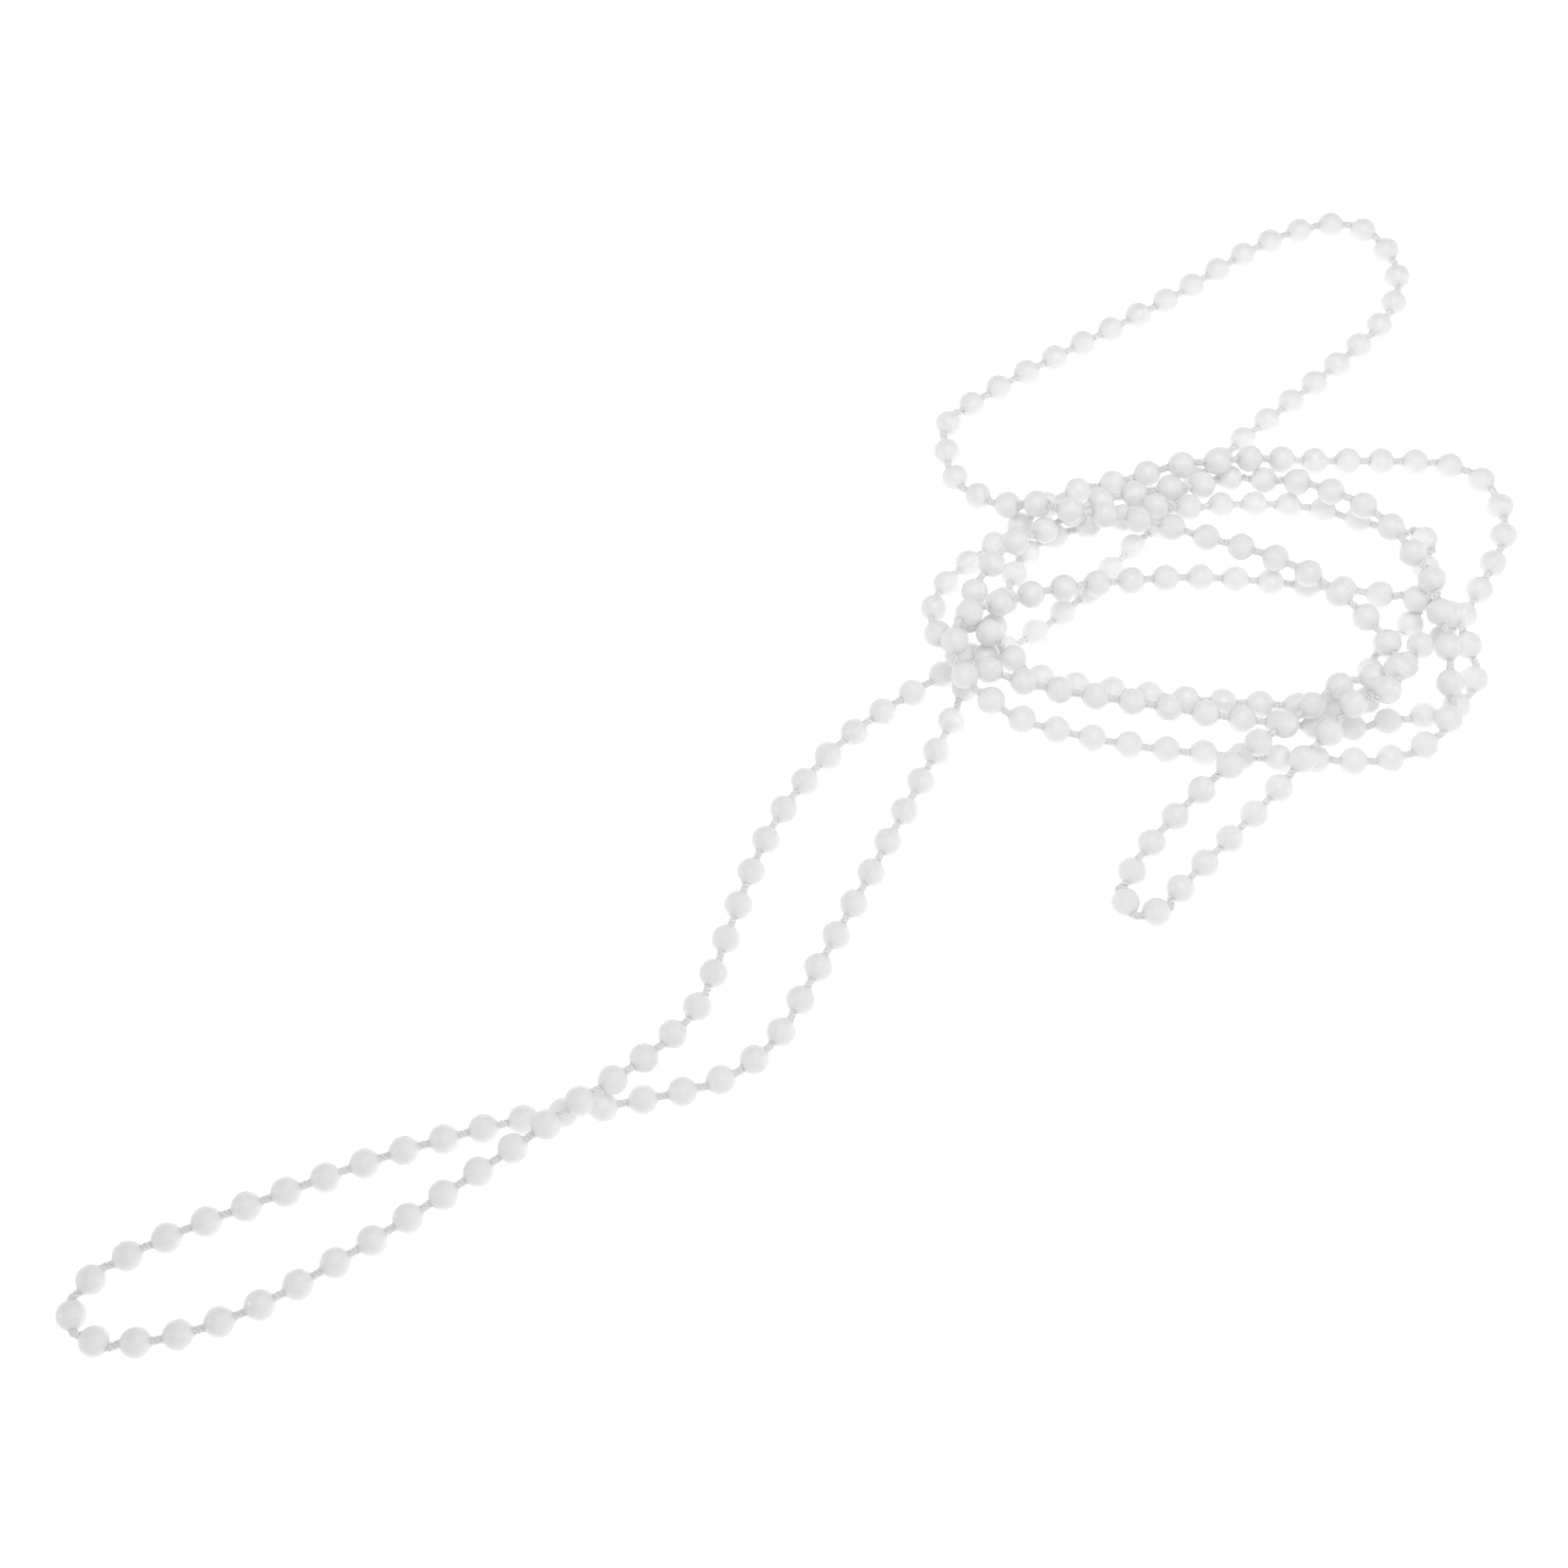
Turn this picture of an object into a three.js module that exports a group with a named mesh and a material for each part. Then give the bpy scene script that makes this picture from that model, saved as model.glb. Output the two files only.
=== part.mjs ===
// Endless chain of a roller blind: white plastic beads moulded on a twisted cord at an
// equal pitch, put down on a flat surface in a loose tangle.
// Millimetres, +Z up. The surface is z = 0, and the middle of the chain's outline is x = y = 0.
import * as THREE from "three";

// The chain: 4.5 mm beads on a 6 mm pitch, the common size of plastic blind chains
const BEAD_DIAMETER = 4.5;
const FREE_CORD = 1.5;
const BEAD_COUNT = 267;
const CORD_DIAMETER = 1.3;

// Room left between beads of two strands that touch
const STRAND_CLEARANCE = 0.12;

// Facets: corners round a bead at its middle, at its shoulders and where the cord leaves it
const MIDDLE_CORNERS = 6;
const SHOULDER_CORNERS = 5;
const CORD_CORNERS = 3;
const SHOULDER_ANGLE = THREE.MathUtils.degToRad(43);

// Steps of the sums that space the beads out along the route and clear the crossings
const ROUTE_STEPS = 24;
const SETTLE_STEPS = 300;
const SPACING_SHARE = 0.45;
const CONTACT_SHARE = 0.4;

const BEAD_RADIUS = BEAD_DIAMETER / 2;
const CORD_RADIUS = CORD_DIAMETER / 2;
const PITCH = BEAD_DIAMETER + FREE_CORD;
const UP = new THREE.Vector3(0, 0, 1);
const CHAIN_LENGTH = BEAD_COUNT * PITCH;

// The route, chosen by hand: x, y and how many beads high the chain lies on other strands.
// The level may be a part of a bead where the chain climbs to a crossing or comes down.
const ROUTE = [
  // left loop, going out
  [17, -1, 0], [6, -23, 0], [-5, -44, 0], [-11, -55, 0], [-15, -59, 0], [-20, -62, 0],
  [-32, -65, 0], [-49, -68, 0], [-67, -73, 0], [-83, -79, 0], [-100, -86, 0],
  [-110, -92, 0], [-112, -98, 0], [-108, -101, 0.1],
  // left loop, coming back across itself
  [-97, -100, 0], [-86, -96, 0], [-71, -87, 0], [-50, -73, 0.4], [-41, -67, 0.9],
  [-31, -59, 0.4], [-23, -50, 0], [-19, -39, 0], [-13, -22, 0], [-7, -12, 0], [1, -3, 0],
  [15, 7, 0],
  // under the coil and round the far loop
  [31, 15, 0], [44, 27, 0], [55, 40, 0], [68, 53, 0], [86, 69, 0], [95, 78, 0],
  [98, 82, 0], [100, 88, 0], [99, 94, 0.1], [96, 99, 0.1], [90, 101, 0.1], [79, 98, 0],
  [58, 84, 0], [32, 68, 0], [22, 61, 0], [18, 57, 0], [18, 51, 0], [20, 44, 0.2],
  // over the coil to the near loop
  [28, 38, 0.8], [32, 36, 1.5], [37, 34, 1.9], [49, 34, 1.3], [60, 32, 0.8], [71, 27, 1.1],
  [81, 20, 1.1], [88, 10, 1.2], [88, 4, 1.7], [86, 0, 2], [81, -1, 1.7], [77, -5, 1.1],
  [70, -12, 0.3], [62, -20, 0], [53, -29, 0], [47, -35, 0], [43, -34, 0], [44, -28, 0],
  // over the coil again, round the right-hand bend and back along the far side
  [54, -16, 0.2], [62, -10, 1.2], [71, -3, 1], [81, 4, 0.8], [88, 6, 0.9], [92, 10, 0.9],
  [95, 13, 0.3], [100, 16, 0], [107, 26, 0], [112, 37, 0], [111, 42, 0], [108, 47, 0],
  [102, 49, 0], [90, 49, 0.2], [72, 47, 0.8], [60, 45, 1.3], [48, 44, 0.5], [37, 42, 0.2],
  [27, 34, 0], [18, 26, 0.2], [15, 21, 0.4], [14, 15, 0.7], [17, 10, 1.1], [21, 6, 1.4],
  [33, 3, 0.9], [51, 1, 0.4], [75, -1, 0], [87, -1, 0], [98, 1, 0], [103, 7, 0.1],
  [102, 12, 0.5], [98, 17, 0.9],
  // first turn of the coil
  [88, 22, 0.4], [70, 25, 0.2], [58, 25, 0.5], [45, 23, 0.9], [33, 20, 1.4], [22, 15, 1.9],
  [17, 11, 2], [18, 5, 1.7], [21, 1, 1.5], [26, -2, 0.9], [32, -3, 0.4], [50, -6, 0],
  [73, -8, 0], [86, -8, 0], [91, -7, 0.1], [96, -3, 0.4], [97, 2, 0.9], [97, 13, 1.5],
  [94, 25, 1.6], [88, 35, 1.5],
  // second turn of the coil
  [77, 42, 1.1], [68, 46, 0.3], [57, 41, 0.9], [46, 40, 0.6], [36, 35, 0.9], [26, 28, 1.2],
  [20, 18, 1], [20, 12, 1.3], [26, 8, 1.1], [31, 6, 0.5], [42, 5, 0], [60, 2, 0],
  [78, 1, 0], [83, 1, 0.1], [85, 7, 0], [92, 17, 0], [96, 20, 0], [96, 26, 0],
  [99, 31, 0], [96, 35, 0], [91, 36, 0], [80, 40, 0], [68, 40, 0.3], [56, 38, 0.8],
  [50, 38, 0.5], [39, 36, 0], [29, 30, 0.1], [28, 25, 0.5], [24, 14, 0.7], [21, 9, 0.7],
];

// A smooth closed curve through the route, drawn larger or smaller across the floor
function routeCurve(scale) {
  const points = ROUTE.map(([x, y, level]) =>
    new THREE.Vector3(x * scale, y * scale, BEAD_RADIUS + level * BEAD_DIAMETER));
  const curve = new THREE.CatmullRomCurve3(points, true, "centripetal");
  curve.arcLengthDivisions = ROUTE.length * ROUTE_STEPS;
  return curve;
}

// Bead centres, spaced evenly along a route whose length is the chain's
function placeBeads() {
  const scale = CHAIN_LENGTH / routeCurve(1).getLength();
  const beads = routeCurve(scale).getSpacedPoints(BEAD_COUNT).slice(0, BEAD_COUNT);
  beads.forEach((bead) => { bead.z = Math.max(bead.z, BEAD_RADIUS); });
  return beads;
}

const after = (i) => (i + 1) % BEAD_COUNT;
const before = (i) => (i + BEAD_COUNT - 1) % BEAD_COUNT;

// The way the cord runs through each bead
function cordAxes(beads) {
  return beads.map((_, i) =>
    new THREE.Vector3().subVectors(beads[after(i)], beads[before(i)]).normalize());
}

// Beads stay in one piece and the cord between them keeps its length, so that neighbours
// come a little closer where the chain bends
function spaceNeighbours(beads, moves) {
  const axes = cordAxes(beads);
  for (let i = 0; i < BEAD_COUNT; i++) {
    const j = after(i);
    const way = new THREE.Vector3().subVectors(beads[j], beads[i]);
    const distance = way.length();
    way.divideScalar(distance);
    const wanted = FREE_CORD + BEAD_RADIUS * (axes[i].dot(way) + axes[j].dot(way));
    const step = (distance - wanted) * SPACING_SHARE;
    moves[i].addScaledVector(way, step);
    moves[j].addScaledVector(way, -step);
  }
}

// Beads of two strands push each other apart until they clear
function clearCrossings(beads, moves) {
  const wanted = BEAD_DIAMETER + STRAND_CLEARANCE;
  for (let i = 0; i < BEAD_COUNT; i++) {
    for (let j = i + 2; j < BEAD_COUNT; j++) {
      if (before(i) === j) continue;
      const distance = beads[i].distanceTo(beads[j]);
      if (distance >= wanted) continue;
      const way = new THREE.Vector3().subVectors(beads[i], beads[j]).divideScalar(distance);
      const step = (wanted - distance) * CONTACT_SHARE;
      moves[i].addScaledVector(way, step);
      moves[j].addScaledVector(way, -step);
    }
  }
}

// Beads as they come to rest: clear of each other and on or above the floor
function settle(beads) {
  for (let k = 0; k < SETTLE_STEPS; k++) {
    const moves = beads.map(() => new THREE.Vector3());
    spaceNeighbours(beads, moves);
    clearCrossings(beads, moves);
    beads.forEach((bead, i) => {
      bead.add(moves[i]);
      bead.z = Math.max(bead.z, BEAD_RADIUS);
    });
  }
  return beads;
}

// The middle of the chain's outline goes to x = y = 0
function centre(beads) {
  const middle = new THREE.Box3().setFromPoints(beads).getCenter(new THREE.Vector3());
  beads.forEach((bead) => bead.sub(new THREE.Vector3(middle.x, middle.y, 0)));
  return beads;
}

// One ring of corners round the cord, on a bead's surface; a corner always points down
function ring(bead, axis, corners, along, radius) {
  const side = new THREE.Vector3().crossVectors(UP, axis).normalize();
  const up = new THREE.Vector3().crossVectors(axis, side);
  const middle = bead.clone().addScaledVector(axis, along);
  return Array.from({ length: corners }, (_, k) => {
    const turn = (k / corners) * 2 * Math.PI;
    return middle.clone()
      .addScaledVector(side, radius * Math.sin(turn))
      .addScaledVector(up, -radius * Math.cos(turn));
  });
}

// A bead's rings, from where the cord comes in to where it leaves
function beadRings(bead, axis) {
  const cordAlong = Math.sqrt(BEAD_RADIUS ** 2 - CORD_RADIUS ** 2);
  const shoulderAlong = BEAD_RADIUS * Math.cos(SHOULDER_ANGLE);
  const shoulderRadius = BEAD_RADIUS * Math.sin(SHOULDER_ANGLE);
  return [
    ring(bead, axis, CORD_CORNERS, -cordAlong, CORD_RADIUS),
    ring(bead, axis, SHOULDER_CORNERS, -shoulderAlong, shoulderRadius),
    ring(bead, axis, MIDDLE_CORNERS, 0, BEAD_RADIUS),
    ring(bead, axis, SHOULDER_CORNERS, shoulderAlong, shoulderRadius),
    ring(bead, axis, CORD_CORNERS, cordAlong, CORD_RADIUS),
  ];
}

// Triangles between two rings, whatever their numbers of corners
function joinRings(first, firstStart, second, secondStart, triangles) {
  let a = 0;
  let b = 0;
  while (a < first || b < second) {
    const stepFirst = (a + 1) / first <= (b + 1) / second;
    const here = firstStart + (a % first);
    const there = secondStart + (b % second);
    if (stepFirst) {
      triangles.push(here, firstStart + ((a + 1) % first), there);
      a += 1;
    } else {
      triangles.push(here, secondStart + ((b + 1) % second), there);
      b += 1;
    }
  }
}

// The whole chain as one closed skin: bead, cord, bead, and round to the first again
function chainGeometry(beads) {
  const axes = cordAxes(beads);
  const rings = beads.flatMap((bead, i) => beadRings(bead, axes[i]));
  const starts = [];
  let count = 0;
  rings.forEach((corners) => {
    starts.push(count);
    count += corners.length;
  });
  const triangles = [];
  rings.forEach((corners, i) => {
    const next = (i + 1) % rings.length;
    joinRings(corners.length, starts[i], rings[next].length, starts[next], triangles);
  });
  const geometry = new THREE.BufferGeometry().setFromPoints(rings.flat());
  geometry.setIndex(triangles);
  geometry.computeVertexNormals();
  return geometry;
}

const whitePlastic = new THREE.MeshStandardMaterial({
  color: 0xf0f0ee,
  roughness: 0.35,
  metalness: 0,
});

const beads = centre(settle(placeBeads()));
const chain = new THREE.Mesh(chainGeometry(beads), whitePlastic);
chain.name = "bead_chain";

const part = new THREE.Group();
part.add(chain);

export default part;
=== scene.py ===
"""Endless ball chain of a roller blind: moulded balls on a twisted cord, in a loose tangle.

The route and the sums that lay the balls along it are the same as the solid's. Route, camera,
cord and balls are in millimetres. Materials, floor and lamps are in metres. The floor is z = 0.
"""
import math

import bpy
import numpy as np
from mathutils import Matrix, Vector

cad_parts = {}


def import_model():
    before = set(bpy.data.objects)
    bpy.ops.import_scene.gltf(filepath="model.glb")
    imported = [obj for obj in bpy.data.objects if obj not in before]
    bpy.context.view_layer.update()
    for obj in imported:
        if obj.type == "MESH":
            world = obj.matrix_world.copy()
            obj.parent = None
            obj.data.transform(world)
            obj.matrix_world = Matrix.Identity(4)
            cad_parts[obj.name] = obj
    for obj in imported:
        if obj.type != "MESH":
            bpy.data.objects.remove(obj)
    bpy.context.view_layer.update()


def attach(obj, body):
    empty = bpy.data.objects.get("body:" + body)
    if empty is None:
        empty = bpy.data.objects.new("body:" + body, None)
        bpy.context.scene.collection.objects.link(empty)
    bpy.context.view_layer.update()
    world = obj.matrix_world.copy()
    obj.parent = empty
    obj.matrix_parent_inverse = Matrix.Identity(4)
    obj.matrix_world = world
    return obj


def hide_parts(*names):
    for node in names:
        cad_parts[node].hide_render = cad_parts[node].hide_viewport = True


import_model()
bpy.context.scene.view_settings.view_transform = "Standard"

MM = 0.001

# The chain: 4.5 mm balls on a 6 mm pitch
BEAD_DIAMETER = 4.5
FREE_CORD = 1.5
BEAD_COUNT = 267
CORD_DIAMETER = 1.3
STRAND_CLEARANCE = 0.12

# Steps of the sums that space the balls out along the route and clear the crossings, and the
# share of each fault that one step mends
ROUTE_STEPS = 24
SETTLE_STEPS = 300
SPACING_SHARE = 0.45
CONTACT_SHARE = 0.4

BEAD_RADIUS = BEAD_DIAMETER / 2
CORD_RADIUS = CORD_DIAMETER / 2
CHAIN_LENGTH = BEAD_COUNT * (BEAD_DIAMETER + FREE_CORD)
UP = np.array([0.0, 0.0, 1.0])

# The route: x, y and how many balls high the chain lies on other strands
ROUTE = [
    # left loop, going out
    (17, -1, 0), (6, -23, 0), (-5, -44, 0), (-11, -55, 0), (-15, -59, 0), (-20, -62, 0),
    (-32, -65, 0), (-49, -68, 0), (-67, -73, 0), (-83, -79, 0), (-100, -86, 0),
    (-110, -92, 0), (-112, -98, 0), (-108, -101, 0.1),
    # left loop, coming back across itself
    (-97, -100, 0), (-86, -96, 0), (-71, -87, 0), (-50, -73, 0.4), (-41, -67, 0.9),
    (-31, -59, 0.4), (-23, -50, 0), (-19, -39, 0), (-13, -22, 0), (-7, -12, 0), (1, -3, 0),
    (15, 7, 0),
    # under the coil and round the far loop
    (31, 15, 0), (44, 27, 0), (55, 40, 0), (68, 53, 0), (86, 69, 0), (95, 78, 0),
    (98, 82, 0), (100, 88, 0), (99, 94, 0.1), (96, 99, 0.1), (90, 101, 0.1), (79, 98, 0),
    (58, 84, 0), (32, 68, 0), (22, 61, 0), (18, 57, 0), (18, 51, 0), (20, 44, 0.2),
    # over the coil to the near loop
    (28, 38, 0.8), (32, 36, 1.5), (37, 34, 1.9), (49, 34, 1.3), (60, 32, 0.8), (71, 27, 1.1),
    (81, 20, 1.1), (88, 10, 1.2), (88, 4, 1.7), (86, 0, 2), (81, -1, 1.7), (77, -5, 1.1),
    (70, -12, 0.3), (62, -20, 0), (53, -29, 0), (47, -35, 0), (43, -34, 0), (44, -28, 0),
    # over the coil again, round the right-hand bend and back along the far side
    (54, -16, 0.2), (62, -10, 1.2), (71, -3, 1), (81, 4, 0.8), (88, 6, 0.9), (92, 10, 0.9),
    (95, 13, 0.3), (100, 16, 0), (107, 26, 0), (112, 37, 0), (111, 42, 0), (108, 47, 0),
    (102, 49, 0), (90, 49, 0.2), (72, 47, 0.8), (60, 45, 1.3), (48, 44, 0.5), (37, 42, 0.2),
    (27, 34, 0), (18, 26, 0.2), (15, 21, 0.4), (14, 15, 0.7), (17, 10, 1.1), (21, 6, 1.4),
    (33, 3, 0.9), (51, 1, 0.4), (75, -1, 0), (87, -1, 0), (98, 1, 0), (103, 7, 0.1),
    (102, 12, 0.5), (98, 17, 0.9),
    # first turn of the coil
    (88, 22, 0.4), (70, 25, 0.2), (58, 25, 0.5), (45, 23, 0.9), (33, 20, 1.4), (22, 15, 1.9),
    (17, 11, 2), (18, 5, 1.7), (21, 1, 1.5), (26, -2, 0.9), (32, -3, 0.4), (50, -6, 0),
    (73, -8, 0), (86, -8, 0), (91, -7, 0.1), (96, -3, 0.4), (97, 2, 0.9), (97, 13, 1.5),
    (94, 25, 1.6), (88, 35, 1.5),
    # second turn of the coil
    (77, 42, 1.1), (68, 46, 0.3), (57, 41, 0.9), (46, 40, 0.6), (36, 35, 0.9), (26, 28, 1.2),
    (20, 18, 1), (20, 12, 1.3), (26, 8, 1.1), (31, 6, 0.5), (42, 5, 0), (60, 2, 0),
    (78, 1, 0), (83, 1, 0.1), (85, 7, 0), (92, 17, 0), (96, 20, 0), (96, 26, 0),
    (99, 31, 0), (96, 35, 0), (91, 36, 0), (80, 40, 0), (68, 40, 0.3), (56, 38, 0.8),
    (50, 38, 0.5), (39, 36, 0), (29, 30, 0.1), (28, 25, 0.5), (24, 14, 0.7), (21, 9, 0.7),
]


# Camera, at the photograph's angle

CAMERA_TARGET = (-9.9, -11.1, 0.0)
CAMERA_DISTANCE = 365.8
CAMERA_ELEVATION = math.radians(63.5)
CAMERA_VIEW = math.radians(38.04)
CAMERA_CLIP = (10, 20000)


def make_camera():
    data = bpy.data.cameras.new("camera")
    data.sensor_fit = "HORIZONTAL"
    data.angle = CAMERA_VIEW
    data.clip_start, data.clip_end = (distance * MM for distance in CAMERA_CLIP)
    camera = bpy.data.objects.new("camera", data)
    away = Vector((0, -math.cos(CAMERA_ELEVATION), math.sin(CAMERA_ELEVATION)))
    camera.location = (Vector(CAMERA_TARGET) + away * CAMERA_DISTANCE) * MM
    camera.rotation_euler = (math.pi / 2 - CAMERA_ELEVATION, 0, 0)
    bpy.context.scene.collection.objects.link(camera)
    bpy.context.scene.camera = camera


make_camera()


# Where the balls lie

def unit(vectors):
    return vectors / np.linalg.norm(vectors, axis=-1, keepdims=True)


def route_points(scale):
    """The route's points, drawn larger or smaller across the floor."""
    x, y, level = np.array(ROUTE, float).T
    return np.stack([x * scale, y * scale, BEAD_RADIUS + level * BEAD_DIAMETER], axis=1)


def on_curve(points, share):
    """A smooth closed curve through the points; share runs from 0 to 1 round it."""
    place = np.asarray(share) * len(points)
    first = np.floor(place).astype(int)
    part = (place - first)[:, None]
    a, b, c, d = (points[(first + k) % len(points)] for k in (-1, 0, 1, 2))
    ab, bc, cd = (np.linalg.norm(q - p, axis=1)[:, None] ** 0.5
                  for p, q in ((a, b), (b, c), (c, d)))
    leave = ((b - a) / ab - (c - a) / (ab + bc) + (c - b) / bc) * bc
    arrive = ((c - b) / bc - (d - b) / (bc + cd) + (d - c) / cd) * bc
    square = 3 * (c - b) - 2 * leave - arrive
    cube = 2 * (b - c) + leave + arrive
    return b + leave * part + square * part ** 2 + cube * part ** 3


def lengths_along(points):
    """Shares of the way round the curve, and how long it is up to each."""
    shares = np.linspace(0, 1, len(points) * ROUTE_STEPS + 1)
    steps = np.linalg.norm(np.diff(on_curve(points, shares), axis=0), axis=1)
    return shares, np.concatenate([[0], np.cumsum(steps)])


def place_beads():
    """Ball centres, spaced evenly along a route whose length is the chain's."""
    scale = CHAIN_LENGTH / lengths_along(route_points(1))[1][-1]
    points = route_points(scale)
    shares, lengths = lengths_along(points)
    wanted = np.arange(BEAD_COUNT) * lengths[-1] / BEAD_COUNT
    beads = on_curve(points, np.interp(wanted, lengths, shares))
    beads[:, 2] = np.maximum(beads[:, 2], BEAD_RADIUS)
    return beads


def after(rows):
    return np.roll(rows, -1, axis=0)


def before(rows):
    return np.roll(rows, 1, axis=0)


def cord_axes(beads):
    """The way the cord runs through each ball."""
    return unit(after(beads) - before(beads))


def spacing_moves(beads):
    """Balls stay in one piece and the cord between them keeps its length."""
    axes = cord_axes(beads)
    way = after(beads) - beads
    distance = np.linalg.norm(way, axis=1)
    way = way / distance[:, None]
    bent = (axes * way).sum(axis=1) + (after(axes) * way).sum(axis=1)
    step = way * ((distance - FREE_CORD - BEAD_RADIUS * bent) * SPACING_SHARE)[:, None]
    return step - before(step)


def crossing_moves(beads, strangers):
    """Balls that aren't neighbours on the cord push each other apart until they clear."""
    way = beads[:, None] - beads[None]
    distance = np.linalg.norm(way, axis=2)
    close = strangers & (distance < BEAD_DIAMETER + STRAND_CLEARANCE)
    one, other = np.nonzero(close)
    apart = distance[one, other][:, None]
    push = (BEAD_DIAMETER + STRAND_CLEARANCE - apart) * CONTACT_SHARE
    moves = np.zeros_like(beads)
    np.add.at(moves, one, way[one, other] / apart * push)
    return moves


def settled_beads():
    """Ball centres as they come to rest, with the middle of their outline at x = y = 0."""
    beads = place_beads()
    index = np.arange(BEAD_COUNT)
    steps_apart = np.abs(index[:, None] - index[None])
    steps_apart = np.minimum(steps_apart, BEAD_COUNT - steps_apart)
    for _ in range(SETTLE_STEPS):
        beads = beads + spacing_moves(beads) + crossing_moves(beads, steps_apart > 1)
        beads[:, 2] = np.maximum(beads[:, 2], BEAD_RADIUS)
    middle = (beads.min(axis=0) + beads.max(axis=0)) / 2
    return beads - [middle[0], middle[1], 0]


beads = settled_beads()
axes = cord_axes(beads)


# Meshes

CELL_MARGIN = 0.03


def make_object(name, vertices, faces, uv_layers, material):
    """A smooth mesh that stands for the solid chain, from points in millimetres.

    uv_layers gives each map's name and its places, in the order of the faces' corners.
    """
    mesh = bpy.data.meshes.new(name)
    mesh.from_pydata((vertices * MM).tolist(), [], faces)
    for layer_name, corners in uv_layers.items():
        layer = mesh.uv_layers.new(name=layer_name, do_init=False)
        layer.uv.foreach_set("vector", np.asarray(corners, np.float32).ravel())
    mesh.shade_smooth()
    mesh.materials.append(material)
    thing = bpy.data.objects.new(name, mesh)
    bpy.context.scene.collection.objects.link(thing)
    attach(thing, "root")
    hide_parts("bead_chain")
    return thing


def in_cell(cell, columns, corners):
    """Places from 0 to 1 moved into one cell of a square grid, with a margin."""
    at = np.array([cell % columns, cell // columns])
    return (at + CELL_MARGIN + np.asarray(corners) * (1 - 2 * CELL_MARGIN)) / columns


# The cord: three strands twisted together, running through every ball and closing on itself

STRANDS = 3
STRAND_RADIUS = 0.28
STRAND_CORNERS = 8
LAY_LENGTH = 1.9
FREE_STATIONS = 10

# In a ball the cord is straight. It has a few stations, and a share of the ball's turn at each.
CORD_HELD_TO = 2.2
HELD_STATIONS = (-1.6, 0.0, 1.6)
HELD_TURNS = (0.25, 0.5, 0.75)
HELD_TWIST = math.radians(70)
TWIST_SEED = 11


def cord_line():
    """Points down the middle of the cord, as rows of one ball and the free cord after it."""
    held = [beads + axes * along for along in HELD_STATIONS]
    leave = beads + axes * CORD_HELD_TO
    arrive = after(beads - axes * CORD_HELD_TO)
    gap = np.linalg.norm(arrive - leave, axis=1, keepdims=True)
    free = []
    for t in np.linspace(0, 1, FREE_STATIONS):
        free.append((2 * t ** 3 - 3 * t ** 2 + 1) * leave
                    + (t ** 3 - 2 * t ** 2 + t) * gap * axes
                    + (3 * t ** 2 - 2 * t ** 3) * arrive
                    + (t ** 3 - t ** 2) * gap * after(axes))
    return np.stack(held + free, axis=1)


def cord_twist():
    """How far the strands have turned at each point of the line.

    Each ball holds the cord at an angle of its own, and the whole adds up to full turns.
    """
    chance = np.random.default_rng(TWIST_SEED)
    free_turn = 2 * math.pi * 2 * (BEAD_RADIUS + FREE_CORD / 2 - CORD_HELD_TO) / LAY_LENGTH
    held_turn = chance.uniform(-HELD_TWIST, HELD_TWIST, BEAD_COUNT)
    total = held_turn.sum() + free_turn * BEAD_COUNT
    full = 2 * math.pi * round(total / (2 * math.pi))
    held_turn += (full - total) / BEAD_COUNT
    start = np.concatenate([[0], np.cumsum(held_turn + free_turn)[:-1]])
    held = [start + held_turn * share for share in HELD_TURNS]
    free = [start + held_turn + free_turn * t for t in np.linspace(0, 1, FREE_STATIONS)]
    return np.stack(held + free, axis=1).ravel()


def strand_points(line, twist, strand):
    """Rings of corners along one strand, which winds round the cord's middle line."""
    along = unit(after(line) - before(line))
    side = unit(np.cross(UP, along))
    up = np.cross(along, side)
    turn = (twist + strand * 2 * math.pi / STRANDS)[:, None]
    outward = side * np.cos(turn) + up * np.sin(turn)
    middle = line + outward * (CORD_RADIUS - STRAND_RADIUS)
    way = unit(after(middle) - before(middle))
    first = unit(outward - way * (outward * way).sum(axis=1, keepdims=True))
    second = np.cross(way, first)
    corners = np.arange(STRAND_CORNERS) * 2 * math.pi / STRAND_CORNERS
    rings = middle[:, None] + STRAND_RADIUS * (
        first[:, None] * np.cos(corners)[None, :, None]
        + second[:, None] * np.sin(corners)[None, :, None])
    return rings.reshape(-1, 3)


def make_cord(material):
    line = cord_line().reshape(-1, 3)
    twist = cord_twist()
    stations = len(line)
    per_ball = stations // BEAD_COUNT
    columns = math.ceil(math.sqrt(STRANDS * BEAD_COUNT))
    steps = np.linalg.norm(after(line) - line, axis=1)
    travelled = np.concatenate([[0], np.cumsum(steps[:-1])])
    faces = []
    bake = []
    yarn = []
    for strand in range(STRANDS):
        start = strand * stations * STRAND_CORNERS
        for i in range(stations):
            here = start + i * STRAND_CORNERS
            there = start + (i + 1) % stations * STRAND_CORNERS
            cell = strand * BEAD_COUNT + i // per_ball
            low = i % per_ball / per_ball
            high = (i % per_ball + 1) / per_ball
            a = travelled[i]
            b = a + steps[i]
            for k in range(STRAND_CORNERS):
                n = (k + 1) % STRAND_CORNERS
                left = k / STRAND_CORNERS
                right = (k + 1) / STRAND_CORNERS
                corners = [(left, low), (right, low), (right, high), (left, high)]
                faces.append((here + k, here + n, there + n, there + k))
                bake.append(in_cell(cell, columns, corners))
                yarn.append([(a, left), (a, right), (b, right), (b, left)])
    vertices = np.concatenate([strand_points(line, twist, strand) for strand in range(STRANDS)])
    cord = make_object("cord", vertices, faces, {"OFBake": bake, "yarn": yarn}, material)


# The balls

# Round, with a collar where the cord leaves: how far along the cord, and its radius
BALL_RINGS = 14
POLE_ANGLE = math.radians(20)
COLLAR = ((2.17, 0.73), (2.23, 0.71), (2.25, 0.68))

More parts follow.
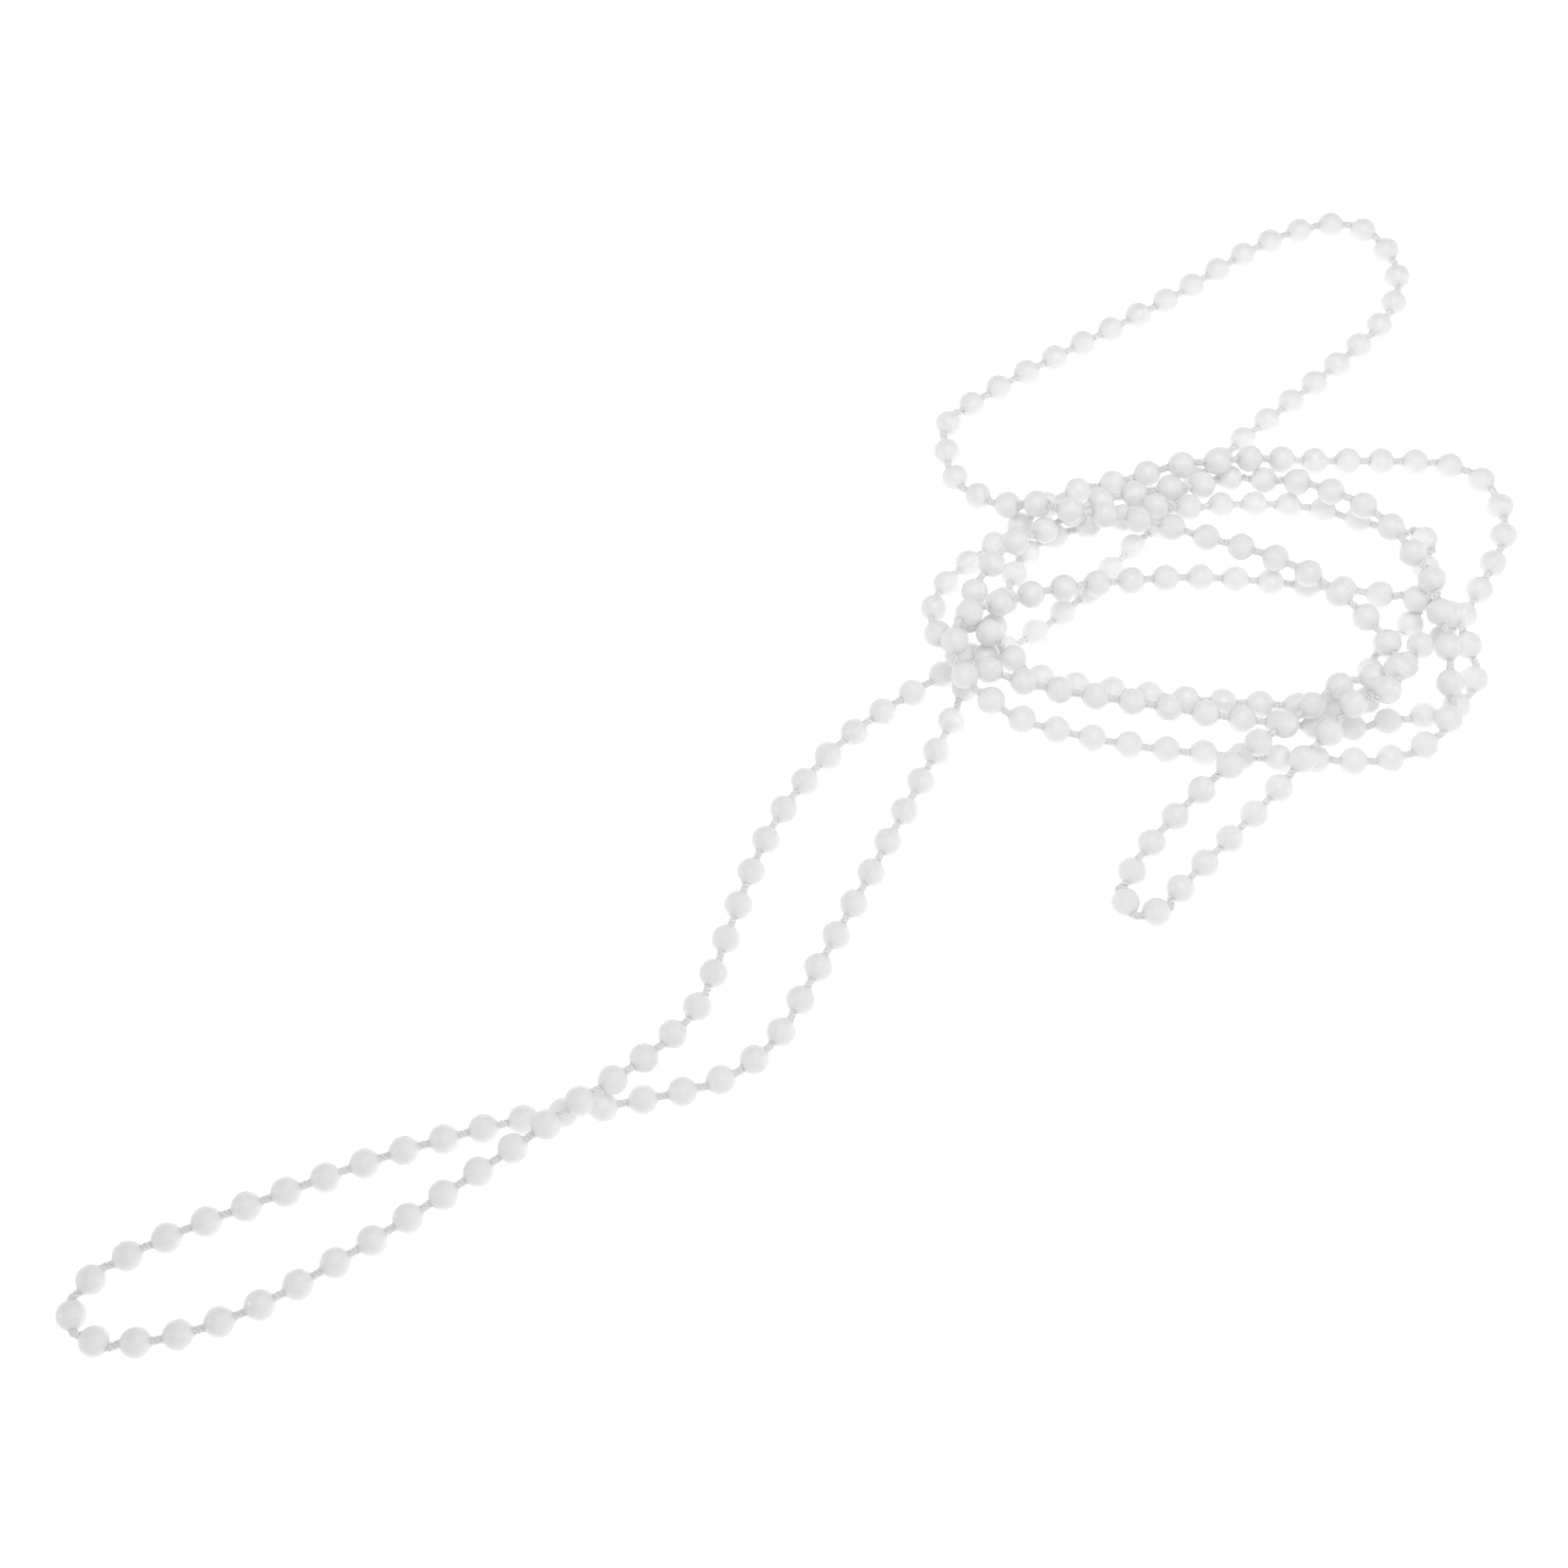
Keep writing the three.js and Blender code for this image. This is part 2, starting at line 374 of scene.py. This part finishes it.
# Degrees round the cord, with a fine raised line where the halves of the mould meet
ROUND_STEP = 15
SEAMS = (0, 180)
SEAM_STEP = 2
SEAM_HEIGHT = 0.03
SEAM_WAVES = ((1.1, 3, 0.4), (0.8, 7, 2), (0.5, 16, 0))

TONE_SEED = 5

# Pieces of the chain: the first ball of each, and the one after its last
BALL_GROUPS = {
    "balls_left_loop": (0, 60),
    "balls_far_loop": (60, 100),
    "balls_near_loop": (100, 150),
    "balls_coil": (150, BEAD_COUNT),
}


def ball_profile():
    """Rings of a ball along the cord: how far along, and their radius."""
    angles = np.linspace(math.pi - POLE_ANGLE, POLE_ANGLE, BALL_RINGS)
    ball = [(BEAD_RADIUS * math.cos(a), BEAD_RADIUS * math.sin(a)) for a in angles]
    return [(-a, r) for a, r in reversed(COLLAR)] + ball + list(COLLAR)


def ball_corners():
    """Angles round the cord, with close ones on both sides of the mould's line."""
    angles = {*range(0, 360, ROUND_STEP)}
    for seam in SEAMS:
        angles |= {(seam - SEAM_STEP) % 360, seam, seam + SEAM_STEP}
    return sorted(angles)


def ball_template():
    """One ball's points in its own frame (along, out, across), faces and bake corners."""
    profile = ball_profile()
    degrees = ball_corners()
    count = len(degrees)
    rings = len(profile)
    points = []
    for along, radius in profile:
        for angle in degrees:
            tall = 1 + SEAM_HEIGHT / BEAD_RADIUS if angle in SEAMS else 1
            turn = math.radians(angle)
            points.append((along, radius * tall * math.cos(turn), radius * tall * math.sin(turn)))
    ends = len(points)
    points += [(profile[0][0], 0, 0), (profile[-1][0], 0, 0)]
    faces = []
    bake = []
    rows = rings + 1
    for k in range(count):
        n = (k + 1) % count
        left = k / count
        right = (k + 1) / count
        faces.append((ends, n, k))
        bake.append([((left + right) / 2, 0), (right, 1 / rows), (left, 1 / rows)])
        for row in range(rings - 1):
            here = row * count
            there = here + count
            faces.append((here + k, here + n, there + n, there + k))
            low = (row + 1) / rows
            high = (row + 2) / rows
            bake.append([(left, low), (right, low), (right, high), (left, high)])
        last = (rings - 1) * count
        faces.append((ends + 1, last + k, last + n))
        bake.append([((left + right) / 2, 1), (left, 1 - 1 / rows), (right, 1 - 1 / rows)])
    return np.array(points), faces, bake


def seam_rolls():
    """How far the mould's line is turned round the cord at each ball.

    It drifts as the cord twists, in waves of a height, a number round the chain and a start.
    """
    turn = 2 * math.pi * np.arange(BEAD_COUNT) / BEAD_COUNT
    return sum(height * np.sin(number * turn + start) for height, number, start in SEAM_WAVES)


def make_balls(material):
    points, faces, bake = ball_template()
    side = unit(np.cross(UP, axes))
    up = np.cross(axes, side)
    roll = seam_rolls()[:, None]
    out = side * np.cos(roll) + up * np.sin(roll)
    across = np.cross(axes, out)
    tones = np.random.default_rng(TONE_SEED).uniform(-1, 1, BEAD_COUNT)
    for name, (first, last) in BALL_GROUPS.items():
        columns = math.ceil(math.sqrt(last - first))
        vertices = []
        all_faces = []
        all_bake = []
        for i in range(first, last):
            start = (i - first) * len(points)
            own_frame = np.stack([axes[i], out[i], across[i]])
            vertices.append(beads[i] + points @ own_frame)
            all_faces += [tuple(start + v for v in face) for face in faces]
            all_bake += [corner for face in bake for corner in in_cell(i - first, columns, face)]
        balls = make_object(name, np.concatenate(vertices), all_faces, {"OFBake": all_bake},
                            material)
        tone = balls.data.attributes.new("tone", "FLOAT", "POINT")
        tone.data.foreach_set("value", np.repeat(tones[first:last], len(points)).astype(np.float32))


# Materials

PLASTIC_TONES = ((0.93, 0.93, 0.925), (0.96, 0.96, 0.955))
PLASTIC_GLOSS = {
    "IOR": 1.5,
    "Subsurface Weight": 1.0,
    "Subsurface Radius": (1.0, 1.0, 1.0),
    "Subsurface Scale": 0.002,
}

# How much each ball's own tone counts beside the clouds in its plastic
TONE_SHARE = 0.22

YARN_TONES = ((0.965, 0.965, 0.96), (0.995, 0.995, 0.99))
YARN_STRETCH = (0.7, 9, 1)
YARN_GLOSS = {
    "Roughness": 0.3,
    "Sheen Weight": 1.0,
    "Sheen Roughness": 0.6,
    "Coat Weight": 0.6,
    "Coat Roughness": 0.2,
}


def new_material(name):
    material = bpy.data.materials.new(name)
    material.use_nodes = True
    nodes, links = material.node_tree.nodes, material.node_tree.links
    return material, nodes, links, nodes["Principled BSDF"]


def add_node(nodes, kind, **values):
    """A node with its inputs or settings given by name."""
    node = nodes.new(kind)
    for key, value in values.items():
        if hasattr(node, key):
            setattr(node, key, value)
        else:
            node.inputs[key.replace("_", " ")].default_value = value
    return node


def set_inputs(node, values):
    for name, value in values.items():
        node.inputs[name].default_value = value


def add_colour(nodes, links, source, shader, tones, start=0.0, end=1.0):
    """The shader's colour runs from the first tone to the second as the source rises."""
    ramp = add_node(nodes, "ShaderNodeValToRGB")
    for element, place, tone in zip(ramp.color_ramp.elements, (start, end), tones):
        element.position = place
        element.color = (*tone, 1)
    links.new(source, ramp.inputs["Fac"])
    links.new(ramp.outputs["Color"], shader.inputs["Base Color"])


def add_bump(nodes, links, source, shader, strength, distance):
    bump = add_node(nodes, "ShaderNodeBump", Strength=strength, Distance=distance)
    links.new(source, bump.inputs["Height"])
    links.new(bump.outputs["Normal"], shader.inputs["Normal"])


def plastic_material():
    """White plastic, cloudy and finely grained, each ball a little lighter or darker."""
    material, nodes, links, shader = new_material("ball_plastic")
    place = add_node(nodes, "ShaderNodeTexCoord")
    cloud = add_node(nodes, "ShaderNodeTexNoise", Scale=420, Detail=3, Roughness=0.55)
    grain = add_node(nodes, "ShaderNodeTexNoise", Scale=5200, Detail=2, Roughness=0.5)
    tone = add_node(nodes, "ShaderNodeAttribute", attribute_name="tone")
    for texture in (cloud, grain):
        links.new(place.outputs["Object"], texture.inputs["Vector"])
    mixed = add_node(nodes, "ShaderNodeMath", operation="MULTIPLY_ADD")
    mixed.inputs[1].default_value = TONE_SHARE
    links.new(tone.outputs["Fac"], mixed.inputs[0])
    links.new(cloud.outputs["Fac"], mixed.inputs[2])
    add_colour(nodes, links, mixed.outputs[0], shader, PLASTIC_TONES, start=0.2, end=0.85)
    rough = add_node(nodes, "ShaderNodeMapRange", To_Min=0.17, To_Max=0.27)
    links.new(cloud.outputs["Fac"], rough.inputs["Value"])
    links.new(rough.outputs["Result"], shader.inputs["Roughness"])
    add_bump(nodes, links, grain.outputs["Fac"], shader, strength=0.25, distance=0.00002)
    set_inputs(shader, PLASTIC_GLOSS)
    return material


def yarn_material():
    """White glossy yarn, with fibres that run slantwise along each strand."""
    material, nodes, links, shader = new_material("twisted_cord")
    place = add_node(nodes, "ShaderNodeUVMap", uv_map="yarn")
    lean = add_node(nodes, "ShaderNodeMapping")
    lean.inputs["Scale"].default_value = YARN_STRETCH
    links.new(place.outputs["UV"], lean.inputs["Vector"])
    fibres = add_node(nodes, "ShaderNodeTexWave", Scale=1.0, Distortion=1.6, Detail=2)
    fibres.bands_direction = "DIAGONAL"
    links.new(lean.outputs["Vector"], fibres.inputs["Vector"])
    add_colour(nodes, links, fibres.outputs["Fac"], shader, YARN_TONES)
    add_bump(nodes, links, fibres.outputs["Fac"], shader, strength=0.5, distance=0.00004)
    set_inputs(shader, YARN_GLOSS)
    return material


make_cord(yarn_material())
make_balls(plastic_material())


# Floor, background and light

# The floor glows: it lights the chain from below, and the ground is white to the camera
FLOOR_SIZE = 4.0
FLOOR_GLOW = 0.92
FLOOR_GLOW_SEEN = 0.86
FLOOR_LOOK = {
    "Base Color": (0.35, 0.35, 0.35, 1),
    "Roughness": 0.9,
    "Specular IOR Level": 0.0,
    "Emission Color": (1, 1, 1, 1),
}
WORLD_GLOW = 0.36
WORLD_GLOW_SEEN = 1.0

# Each lamp's name, place, size, power and the place that it shines at
LAMPS = [
    ("lamp_front", (0.05, -0.18, 0.6), 0.62, 1.0, (0, 0, 0)),
    ("lamp_over_coil", (0.07, 0.055, 0.26), 0.2, 0.16, (0.07, 0.055, 0)),
    ("lamp_left", (-0.8, -0.14, 0.33), 0.11, 0.5, (0, 0, 0)),
    ("lamp_right", (0.8, -0.14, 0.33), 0.11, 0.5, (0, 0, 0)),
]


def seen_as_background(nodes, links):
    """1 where the camera, or a mirror or glass, looks at the surface."""
    path = add_node(nodes, "ShaderNodeLightPath")
    total = path.outputs["Is Camera Ray"]
    for name in ("Is Glossy Ray", "Is Transmission Ray"):
        add = add_node(nodes, "ShaderNodeMath", operation="MAXIMUM")
        links.new(total, add.inputs[0])
        links.new(path.outputs[name], add.inputs[1])
        total = add.outputs[0]
    return total


def make_floor():
    half = FLOOR_SIZE / 2
    mesh = bpy.data.meshes.new("floor")
    corners = [(-half, -half, 0), (half, -half, 0), (half, half, 0), (-half, half, 0)]
    mesh.from_pydata(corners, [], [(0, 1, 2, 3)])
    material, nodes, links, shader = new_material("floor")
    set_inputs(shader, FLOOR_LOOK)
    glow = add_node(nodes, "ShaderNodeMapRange", To_Min=FLOOR_GLOW, To_Max=FLOOR_GLOW_SEEN)
    links.new(seen_as_background(nodes, links), glow.inputs["Value"])
    links.new(glow.outputs["Result"], shader.inputs["Emission Strength"])
    mesh.materials.append(material)
    floor = bpy.data.objects.new("floor", mesh)
    bpy.context.scene.collection.objects.link(floor)


def make_world():
    world = bpy.data.worlds.new("world")
    world.use_nodes = True
    nodes, links = world.node_tree.nodes, world.node_tree.links
    light = nodes["Background"]
    set_inputs(light, {"Color": (1, 1, 1, 1), "Strength": WORLD_GLOW})
    seen = add_node(nodes, "ShaderNodeBackground", Color=(1, 1, 1, 1), Strength=WORLD_GLOW_SEEN)
    mix = add_node(nodes, "ShaderNodeMixShader")
    links.new(seen_as_background(nodes, links), mix.inputs[0])
    links.new(light.outputs[0], mix.inputs[1])
    links.new(seen.outputs[0], mix.inputs[2])
    links.new(mix.outputs[0], nodes["World Output"].inputs["Surface"])
    bpy.context.scene.world = world


def make_lamp(name, place, size, power, target):
    data = bpy.data.lights.new(name, "AREA")
    data.shape = "SQUARE"
    data.size = size
    data.energy = power
    lamp = bpy.data.objects.new(name, data)
    lamp.location = place
    lamp.rotation_euler = (Vector(target) - Vector(place)).to_track_quat("-Z", "Y").to_euler()
    bpy.context.scene.collection.objects.link(lamp)


make_floor()
make_world()
for lamp in LAMPS:
    make_lamp(*lamp)
